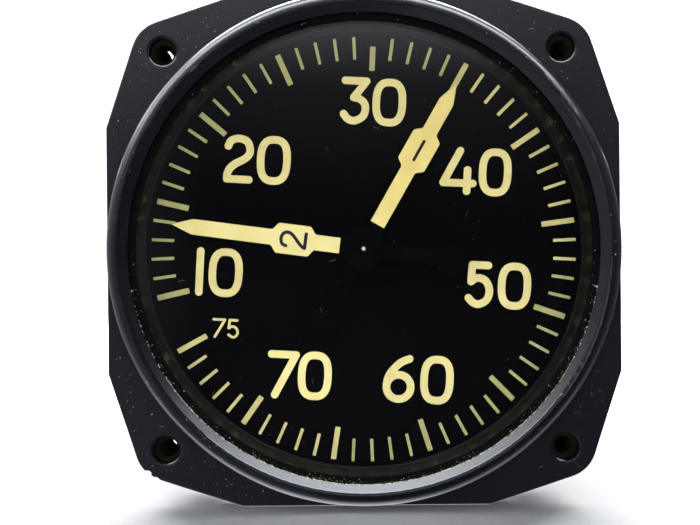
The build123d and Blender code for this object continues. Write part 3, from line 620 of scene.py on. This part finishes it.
N75 = [[(-146.4, 77.5), (-135.0, 77.5), (-144.4, 94.8)],
       [(-122.9, 77.6), (-130.2, 77.6), (-130.9, 85.6)],
       catmull([(-130.9, 85.6), (-127.6, 83.8), (-123.6, 85.4), (-121.8, 89.5), (-123.4, 93.2), (-126.7, 94.6), (-130.8, 92.2)])]

plain = []
for g, place in ((N10, (0.0, -0.3)), (N20, (0.3, -0.4)), (N30, (0.25, 0.35)), (N40, (-0.7, 0.2)), (N50, (-0.6, 0.0)),
                 (N60, (-0.9, -0.9))):
    plain += glyph(g, W, shift=place)
flat_shapes("dial_numerals", plain, DIAL_Y - 0.035, 0.045, 0.012, NUMERAL_PAINT, "case", DIAL_TURN)
# the 70 takes the lighter copy of the numeral paint: painted light, as the lower dial is lit more strongly
flat_shapes("dial_numeral_70", glyph(N70, W, shift=(-0.9, -0.45)), DIAL_Y - 0.035, 0.045, 0.012, NUMERAL_PAINT_LIT, "case", DIAL_TURN)
flat_shapes("dial_numeral_75", glyph(N75, 1.28, 0.16, 0.02, (0.6, -0.4)), DIAL_Y - 0.035, 0.045, 0.012, NUMERAL_PAINT, "case", DIAL_TURN)


def bar(angle, r0, r1, width):
    """A radial mark with slightly rounded corners, angle clockwise from the top."""
    a = math.radians(angle)
    d = (math.sin(a), math.cos(a))
    n = (math.cos(a), -math.sin(a))
    k = min(0.09, width * 0.25)
    h = width / 2
    loc = [(r0, -h + k), (r0 + k * 0.3, -h + k * 0.3), (r0 + k, -h), (r1 - k, -h), (r1 - k * 0.3, -h + k * 0.3), (r1, -h + k),
           (r1, h - k), (r1 - k * 0.3, h - k * 0.3), (r1 - k, h), (r0 + k, h), (r0 + k * 0.3, h - k * 0.3), (r0, h - k)]
    return [(d[0] * r + n[0] * w, d[1] * r + n[1] * w) for r, w in loc]


rng = random.Random(41)
ticks, light_ticks = [], []
for v in range(10, 76):
    a = 3.2 + (v - 30) * 5.3
    if v % 5 == 0:
        r1, ln, w = 34.2, 5.27, 0.87
    else:
        r1, ln, w = 32.4 + 3.65 / 2, 3.65, 0.50
    if v == 30:
        r1, ln = 32.7, 3.9
    (light_ticks if 35 <= v <= 47 or v >= 65 else ticks).append(bar(a + rng.uniform(-0.05, 0.05), r1 - ln + rng.uniform(-0.04, 0.04), r1 + rng.uniform(-0.03, 0.03),
                     w * rng.uniform(0.95, 1.05)))
flat_shapes("dial_ticks", ticks, DIAL_Y - 0.035, 0.045, 0.012, TICK_PAINT, "case", 0.0)
flat_shapes("dial_ticks_light", light_ticks, DIAL_Y - 0.035, 0.045, 0.012, TICK_PAINT_LIGHT, "case", 0.0)


# ------------------------------------------------------------------ pointers' paint
def blade_outline(start, tip, panel, grow=0.0):
    """One side of the painted blade, drawn pointing up: (half width, distance along)."""
    h, p, g, sh = 1.25 + grow, 2.4 + grow, 2.4, 1.2
    a1, b0 = panel - g, panel + g
    a0, b1 = a1 - sh, b0 + sh
    head = tip - 3.2
    right = [(h, start), (h, a0)]
    for k in range(1, 9):
        t = k / 9
        right.append((h + (p - h) * (3 * t * t - 2 * t ** 3), a0 + sh * t))
    right += [(p, a1), (p, b0)]
    for k in range(1, 9):
        t = k / 9
        right.append((p + (h - p) * (3 * t * t - 2 * t ** 3), b0 + sh * t))
    right += [(h, b1), (h, head), (0.09 + grow, tip - 0.05 + grow)]
    left = [(-x, y) for x, y in reversed(right)]
    return right + [(0.0, tip + grow)] + left


flat_shapes("pointer_1_paint", [blade_outline(4.46, 30.15, 17.98, -0.02)], P1_Y - 0.03, 0.035, 0.010, BLADE_PAINT_1,
            "pointer_1_rotor", P1_ANGLE)
flat_shapes("pointer_2_paint", [blade_outline(3.80, 30.5, 11.21, -0.02)], P2_Y - 0.03, 0.035, 0.010, BLADE_PAINT_2,
            "pointer_2_rotor", P2_ANGLE)
# the digit 1 on the rear pointer and 2 on the front one, tops towards the tips
def mm_glyph(strokes, half, step=0.03, tol=0.004):
    return [thin(lp, tol) for lp in field_loops(strokes, half, step) if len(lp) > 5]


flat_shapes("pointer_1_digit", mm_glyph([[(0.0, 17.98 + 1.68), (0.0, 17.98 - 1.68)]], 0.25), P1_Y - 0.042, 0.016, 0.003, DIGIT_BLACK,
            "pointer_1_rotor", P1_ANGLE)
c2 = 11.21
TWO = [catmull([(-1.10, c2 + 1.03), (-0.82, c2 + 1.66), (0.0, c2 + 1.93), (0.80, c2 + 1.62), (1.07, c2 + 0.93), (0.80, c2 + 0.24),
                (0.18, c2 - 0.38), (-0.52, c2 - 1.03), (-0.98, c2 - 1.58), (-1.12, c2 - 1.95)]) + [(1.14, c2 - 1.95)]]
flat_shapes("pointer_2_digit", mm_glyph(TWO, 0.27), P2_Y - 0.042, 0.016, 0.003, DIGIT_BLACK,
            "pointer_2_rotor", P2_ANGLE)


# ------------------------------------------------------------------ turned and threaded detail
def thread_mesh(verts, faces, r_base, r_crest, y0, y1, pitch, cx=0.0, cz=0.0, seg=48, inward=False, sink=0.08):
    """A helical ridge of triangular section standing on a round wall, in millimetres."""
    turns = (y1 - y0) / pitch
    n = int(turns * seg)
    sgn = -1 if inward else 1
    base = len(verts)
    w = pitch * 0.46
    for k in range(n + 1):
        a = 2 * PI * k / seg
        y = y0 + pitch * k / seg
        fade = min(1.0, k / (seg * 0.35), (n - k) / (seg * 0.35))
        rc = r_base + (r_crest - r_base) * fade
        rb = r_base - sgn * sink
        for r, dy in ((rb, -w), (rc, -w * 0.14), (rc, w * 0.14), (rb, w)):
            verts.append(((cx + r * math.cos(a)) * MM, (y + dy) * MM, (cz + r * math.sin(a)) * MM))
    for k in range(n):
        i = base + 4 * k
        for q in range(4):
            a0, a1 = i + q, i + (q + 1) % 4
            f = (a0, a1, a1 + 4, a0 + 4)
            faces.append(f if inward else f[::-1])
    faces.append((base, base + 1, base + 2, base + 3) if not inward else (base + 3, base + 2, base + 1, base))
    e = base + 4 * n
    faces.append((e + 3, e + 2, e + 1, e) if not inward else (e, e + 1, e + 2, e + 3))


# threads inside the four inserts, in the inserts' near-black colour that paints the shade of the holes
v, f = [], []
for sx in (-1, 1):
    for sz in (-1, 1):
        thread_mesh(v, f, 1.6, 1.40, 2.5, 9.6, 0.794, sx * HOLE, sz * HOLE, seg=40, inward=True, sink=0.06)
new_mesh("insert_threads", v, f, MATS["insert_brass"], True, "case")
v, f = [], []
thread_mesh(v, f, 14.2, 14.52, 102.6, 112.0, 1.27, seg=96, sink=0.1)
new_mesh("connector_thread", v, f, MATS["connector_aluminium"], True, "case")


# ------------------------------------------------------------------ dust and lint
def blob(verts, faces, centre, normal, size, flat, rnd):
    """A small irregular grain lying on a surface."""
    n = Vector(normal).normalized()
    u = n.orthogonal().normalized()
    w = n.cross(u)
    spin = rnd.uniform(0, 2 * PI)
    u, w = u * math.cos(spin) + w * math.sin(spin), w * math.cos(spin) - u * math.sin(spin)
    k = 6
    base = len(verts)
    ex = rnd.uniform(0.6, 1.5)
    ring0, ring1 = [], []
    for i in range(k):
        a = 2 * PI * i / k
        r = size * rnd.uniform(0.6, 1.25)
        p = Vector(centre) + (u * math.cos(a) * ex + w * math.sin(a) / ex) * r
        ring0.append(p - n * size * 0.1)
        ring1.append(Vector(centre) + (u * math.cos(a) * ex + w * math.sin(a) / ex) * r * 0.62 + n * size * flat * rnd.uniform(0.7, 1.3))
    for p in ring0 + ring1:
        verts.append(tuple(p))
    verts.append(tuple(Vector(centre) + n * size * flat * 1.25))
    verts.append(tuple(Vector(centre) - n * size * 0.1))
    top, bot = base + 2 * k, base + 2 * k + 1
    for i in range(k):
        j = (i + 1) % k
        faces.append((base + i, base + j, base + k + j, base + k + i))
        faces.append((base + k + i, base + k + j, top))
        faces.append((base + j, base + i, bot))


def fibre(verts, faces, points, r):
    """A thin bent hair through the points."""
    k = 4
    base = len(verts)
    pts = [Vector(p) for p in points]
    for i, p in enumerate(pts):
        d = (pts[min(i + 1, len(pts) - 1)] - pts[max(i - 1, 0)]).normalized()
        u = d.cross(Vector((0.13, 0.99, 0.07))).normalized()
        w = d.cross(u)
        rr = r * (0.5 if i in (0, len(pts) - 1) else 1.0)
        for q in range(k):
            a = 2 * PI * q / k
            verts.append(tuple(p + (u * math.cos(a) + w * math.sin(a)) * rr))
    for i in range(len(pts) - 1):
        for q in range(k):
            a0, a1 = base + i * k + q, base + i * k + (q + 1) % k
            faces.append((a0, a1, a1 + k, a0 + k))
    faces.append(tuple(base + q for q in range(k))[::-1])
    e = base + (len(pts) - 1) * k
    faces.append(tuple(e + q for q in range(k)))


SLOPE = math.radians(18.2)
def in_flange(x, z, margin):
    x, z = abs(x), abs(z)
    lim = 40.5 * math.cos(SLOPE) + 19.5 * math.sin(SLOPE) - margin
    return (x < 40.5 - margin and z < 40.5 - margin and x * math.cos(SLOPE) + z * math.sin(SLOPE) < lim
            and z * math.cos(SLOPE) + x * math.sin(SLOPE) < lim
            and not (x > 30.87 and z > 30.87 and math.hypot(x - 30.87, z - 30.87) > 5.6 - margin))


dust = random.Random(7)
v, f = [], []
# flange face
count = 0
while count < 430:
    x, z = dust.uniform(-40, 40), dust.uniform(-40, 40)
    if not in_flange(x, z, 1.0) or math.hypot(x, z) < 40.6:
        continue
    if math.hypot(abs(x) - HOLE, abs(z) - HOLE) < 3.0:
        continue
    if dust.random() > (0.22 if x > 0 and z < 0 else 0.6 if x > 0 else 1.0):
        continue
    s = 0.016 + 0.050 * dust.random() ** 4.0
    blob(v, f, (x * MM, 0.0, z * MM), (0, -1, 0), s * MM, 0.35, dust)
    count += 1
# ring bead, crest side
for _ in range(150):
    a = dust.uniform(0, 2 * PI)
    t = dust.random()
    r = 37.7 + 1.4 * t
    y = -6.4 if t < 0.5 else -6.4 + 0.75 * ((t - 0.35) / 0.65) ** 2 * 0.9
    y = {True: -6.37, False: -6.40 + 0.62 * max(0.0, (r - 38.15) / 1.13) ** 2}[r < 38.15]
    s = 0.018 + 0.055 * dust.random() ** 3
    blob(v, f, (r * math.cos(a) * MM, y * MM, r * math.sin(a) * MM), (0, -1, 0), s * MM, 0.4, dust)
# glass
for _ in range(150):
    a, r = dust.uniform(0, 2 * PI), 35.0 * math.sqrt(dust.random())
    s = 0.014 + 0.035 * dust.random() ** 3
    blob(v, f, (r * math.cos(a) * MM, GLASS_Y * MM, r * math.sin(a) * MM), (0, -1, 0), s * MM, 0.3, dust)
# gasket and lip
for _ in range(150):
    a, r = dust.uniform(0, 2 * PI), dust.uniform(35.5, 36.5)
    if dust.random() < 0.45 and math.sin(a) > 0:
        a = -a
    s = 0.020 + 0.06 * dust.random() ** 2.5
    blob(v, f, (r * math.cos(a) * MM, -3.9 * MM, r * math.sin(a) * MM), (0, -1, 0), s * MM, 0.5, dust)
# none stands past the crest of the bead
v = [(p[0], max(p[1], -6.4 * MM), p[2]) for p in v]
new_mesh("dust_specks", v, f, DUST_WHITE, False, "case")
v, f = [], []
# grains gathered along the bottom of the lip's inner edge, and fewer on the gasket below it
for k in range(1300):
    a = -PI / 2 + max(-1.40, min(1.40, dust.gauss(0.02, 0.66)))
    if k % 6:
        r = 36.43 - abs(dust.gauss(0, 0.045))
        y = -5.24 + abs(dust.gauss(0, 0.12))
        s = 0.036 + 0.050 * dust.random() ** 1.6
    else:
        r = 36.40 - abs(dust.gauss(0, 0.30))
        y = -3.92
        s = 0.020 + 0.045 * dust.random() ** 2.4
    blob(v, f, (r * math.cos(a) * MM, y * MM, r * math.sin(a) * MM), (0, -1, 0), s * MM, 0.8, dust)
new_mesh("dust_grains", v, f, DUST_YELLOW, False, "case")
v, f = [], []
for _ in range(7):
    while True:
        x, z = dust.uniform(-39, 39), dust.uniform(-39, 39)
        if in_flange(x, z, 2.5) and math.hypot(x, z) > 42.0 and math.hypot(abs(x) - HOLE, abs(z) - HOLE) > 3.6:
            break
    a = dust.uniform(0, 2 * PI)
    pts = []
    for k in range(7):
        pts.append((x * MM, -0.02 * MM, z * MM))
        a += dust.uniform(-0.5, 0.5)
        x, z = x + 0.14 * math.cos(a), z + 0.14 * math.sin(a)
    fibre(v, f, pts, 0.008 * MM)
for _ in range(10):
    a, r = dust.uniform(0, 2 * PI), 33.0 * math.sqrt(dust.random())
    x, z = r * math.cos(a), r * math.sin(a)
    a = dust.uniform(0, 2 * PI)
    pts = []
    for k in range(8):
        pts.append((x * MM, (GLASS_Y - 0.012) * MM, z * MM))
        a += dust.uniform(-0.45, 0.45)
        x, z = x + 0.15 * math.cos(a), z + 0.15 * math.sin(a)
    fibre(v, f, pts, 0.007 * MM)
new_mesh("lint_fibres", v, f, DUST_WHITE, True, "case")
# faint scratches on the flange's lower right corner
v, f = [], []
for line, r in ((((32.55, -33.5), (32.95, -33.95), (33.3, -34.4), (33.75, -34.72), (34.1, -34.8)), 0.030),
                (((33.55, -25.75), (33.8, -25.95), (34.0, -26.25)), 0.028), (((33.45, -26.3), (33.6, -26.22)), 0.026),
                (((33.98, -26.5), (34.1, -26.7)), 0.03), (((26.0, -34.95), (26.35, -35.3), (26.5, -35.8)), 0.020),
                (((25.85, -35.6), (25.95, -35.2)), 0.020)):
    fibre(v, f, [(x * MM, -0.004 * MM, z * MM) for x, z in line], r * MM)
new_mesh("flange_scratches", v, f, SCUFF, True, "case")


# ------------------------------------------------------------------ floor, camera and light
def stage_mesh(name, verts, faces, material, smooth=False):
    me = bpy.data.meshes.new(name)
    me.from_pydata(verts, [], faces)
    me.update()
    if smooth:
        me.polygons.foreach_set("use_smooth", [True] * len(me.polygons))
    me.materials.append(material)
    ob = bpy.data.objects.new(name, me)
    bpy.context.scene.collection.objects.link(ob)
    return ob


def backdrop():
    """A pale round floor, and a bright white sweep all round it."""
    m = Mat("pale_floor")
    m.set(Base_Color=m.ramp(m.noise(12, 3, 0.5), [(0.3, (0.60, 0.60, 0.595)), (0.7, (0.64, 0.64, 0.635))]), Roughness=1.0,
          Specular_IOR_Level=0.0)
    z = FLOOR_Z * MM
    n = 96
    edge = 0.62
    rim = [(edge * math.cos(2 * PI * i / n), edge * math.sin(2 * PI * i / n), z) for i in range(n)]
    fl = stage_mesh("floor", rim, [tuple(range(n))], m.m)
    fl.visible_glossy = False
    fl.visible_transmission = False
    w = Mat("white_sweep")
    w.set(Base_Color=(0.8, 0.8, 0.8), Roughness=0.9, Emission_Color=(1.0, 1.0, 1.0), Emission_Strength=1.1)
    verts, faces = [], []
    prof = [(edge - 0.001, z - 0.001), (2.55, z), (2.60, z + 0.02), (2.62, z + 0.10), (2.62, 2.4)]
    for i in range(n):
        a = 2 * PI * i / n
        for r, h in prof:
            verts.append((r * math.cos(a), r * math.sin(a), h))
    k = len(prof)
    for i in range(n):
        j = (i + 1) % n
        for q in range(k - 1):
            faces.append((i * k + q, i * k + q + 1, j * k + q + 1, j * k + q))
    sw = stage_mesh("sweep", verts, faces, w.m, True)
    for flag in ("visible_glossy", "visible_transmission", "visible_diffuse", "visible_shadow"):
        setattr(sw, flag, False)


backdrop()


def area(name, place, aim, sx, sy, power, colour=(1, 1, 1)):
    li = bpy.data.lights.new(name, "AREA")
    li.shape = "RECTANGLE"
    li.size, li.size_y = sx, sy
    li.energy = power
    li.color = colour
    ob = bpy.data.objects.new(name, li)
    ob.location = place
    d = Vector(aim) - Vector(place)
    ob.rotation_euler = d.to_track_quat("-Z", "Y").to_euler()
    bpy.context.scene.collection.objects.link(ob)
    return ob


# a large soft box above and behind, so that the shadow falls forward
area("soft_back", (0.0, 0.60, 0.42), (0.0, 0.0, -0.04), 1.10, 0.55, 36.0, (0.96, 0.98, 1.0))
# a narrower one above and in front, for the gloss on the upward edges
gloss = area("soft_gloss", (-0.20, -0.10, 0.47), (-0.20, -0.06, 0), 1.55, 0.15, 15.0, (0.88, 0.93, 1.0))
gloss.visible_diffuse = False
# one above and to the left, for the shine on the ring's shoulder there
shine = area("soft_shine", (-0.42, 0.34, 0.42), (0, 0, 0), 0.34, 0.34, 3.2, (0.97, 0.985, 1.0))
shine.visible_diffuse = False
shine.visible_transmission = False
# an even fill from the front, for the marks on the dial
fill = area("soft_fill", (0.0, -0.90, 0.006), (0, 0, 0), 0.75, 0.09, 9.15, (1.0, 1.0, 0.99))
fill.visible_glossy = False
fill.visible_transmission = False

world = bpy.data.worlds.new("studio")
bpy.context.scene.world = world
world.use_nodes = True
nt = world.node_tree
nt.nodes.clear()
wo = nt.nodes.new("ShaderNodeOutputWorld")
bg = nt.nodes.new("ShaderNodeBackground")
tc = nt.nodes.new("ShaderNodeTexCoord")
sepx = nt.nodes.new("ShaderNodeSeparateXYZ")
nt.links.new(tc.outputs["Generated"], sepx.inputs[0])
# darker towards -Y, where the camera and the room are, white to the sides, above and below


def ramp_node(source, lo, hi, a, b):
    n = nt.nodes.new("ShaderNodeMapRange")
    n.interpolation_type = "SMOOTHSTEP"
    for key, value in (("From Min", lo), ("From Max", hi), ("To Min", a), ("To Max", b)):
        n.inputs[key].default_value = value
    nt.links.new(source, n.inputs["Value"])
    return n.outputs[0]


def add_node(a, b):
    n = nt.nodes.new("ShaderNodeMath")
    n.operation = "ADD"
    nt.links.new(a, n.inputs[0])
    nt.links.new(b, n.inputs[1])
    return n


side = ramp_node(sepx.outputs[1], -0.55, 0.10, 0.010, 0.44)
upper = ramp_node(sepx.outputs[2], 0.03, 0.20, 0.0, 0.16)
lower = ramp_node(sepx.outputs[2], -0.30, -0.80, 0.0, 3.2)
behind = ramp_node(sepx.outputs[1], -0.15, 0.25, 0.0, 1.0)
under = nt.nodes.new("ShaderNodeMath")
under.operation = "MULTIPLY"
nt.links.new(lower, under.inputs[0])
nt.links.new(behind, under.inputs[1])
crown = nt.nodes.new("ShaderNodeMath")
crown.operation = "MULTIPLY"
nt.links.new(ramp_node(sepx.outputs[2], 0.12, 0.24, 0.0, 1.6), crown.inputs[0])
nt.links.new(ramp_node(sepx.outputs[1], -0.92, -0.80, 1.0, 0.0), crown.inputs[1])
left = ramp_node(sepx.outputs[0], -0.10, -0.22, 0.0, 0.24)
# a little light low in front, towards both lower corners
across = nt.nodes.new("ShaderNodeMath")
across.operation = "ABSOLUTE"
nt.links.new(sepx.outputs[0], across.inputs[0])
slant = nt.nodes.new("ShaderNodeMath")
slant.operation = "SUBTRACT"
nt.links.new(across.outputs[0], slant.inputs[0])
nt.links.new(sepx.outputs[2], slant.inputs[1])
corner = nt.nodes.new("ShaderNodeMath")
corner.operation = "MULTIPLY"
nt.links.new(ramp_node(slant.outputs[0], 0.235, 0.30, 0.0, 0.26), corner.inputs[0])
nt.links.new(ramp_node(sepx.outputs[1], -0.92, -0.80, 1.0, 0.0), corner.inputs[1])
ad = add_node(add_node(add_node(add_node(side, upper).outputs[0], under.outputs[0]).outputs[0], crown.outputs[0]).outputs[0], left)
ad = add_node(ad.outputs[0], corner.outputs[0])
# and dimmer towards +X
dim = nt.nodes.new("ShaderNodeMath")
dim.operation = "MULTIPLY"
nt.links.new(ad.outputs[0], dim.inputs[0])
nt.links.new(ramp_node(sepx.outputs[0], 0.08, 0.24, 1.0, 0.45), dim.inputs[1])
nt.links.new(dim.outputs[0], bg.inputs["Strength"])
bg.inputs["Color"].default_value = (0.885, 0.895, 1.0, 1.0)
nt.links.new(bg.outputs[0], wo.inputs[0])

cam = bpy.data.cameras.new("camera")
cam.sensor_fit = "HORIZONTAL"
cam.sensor_width = 36.0
cam.lens = 1421.3 / 700 * 36.0
cam.clip_start = 0.01
cam.clip_end = 50.0
cam.dof.use_dof = False
co = bpy.data.objects.new("camera", cam)
bpy.context.scene.collection.objects.link(co)
yaw, pitch, roll = math.radians(0.376), math.radians(0.129), math.radians(-0.584)
F = Vector((-math.sin(yaw) * math.cos(pitch), math.cos(yaw) * math.cos(pitch), math.sin(pitch)))
R0 = Vector((math.cos(yaw), math.sin(yaw), 0))
U0 = R0.cross(F)
R = R0 * math.cos(roll) + U0 * math.sin(roll)
U = U0 * math.cos(roll) - R0 * math.sin(roll)
rot = Matrix((R, U, -F)).transposed()
co.matrix_world = Matrix.Translation((-0.70 * MM, -224.0 * MM, -2.66 * MM)) @ rot.to_4x4()
bpy.context.scene.camera = co

bpy.context.scene.view_settings.view_transform = "Standard"
bpy.context.scene.view_settings.look = "None"
bpy.context.scene.view_settings.exposure = 0.0
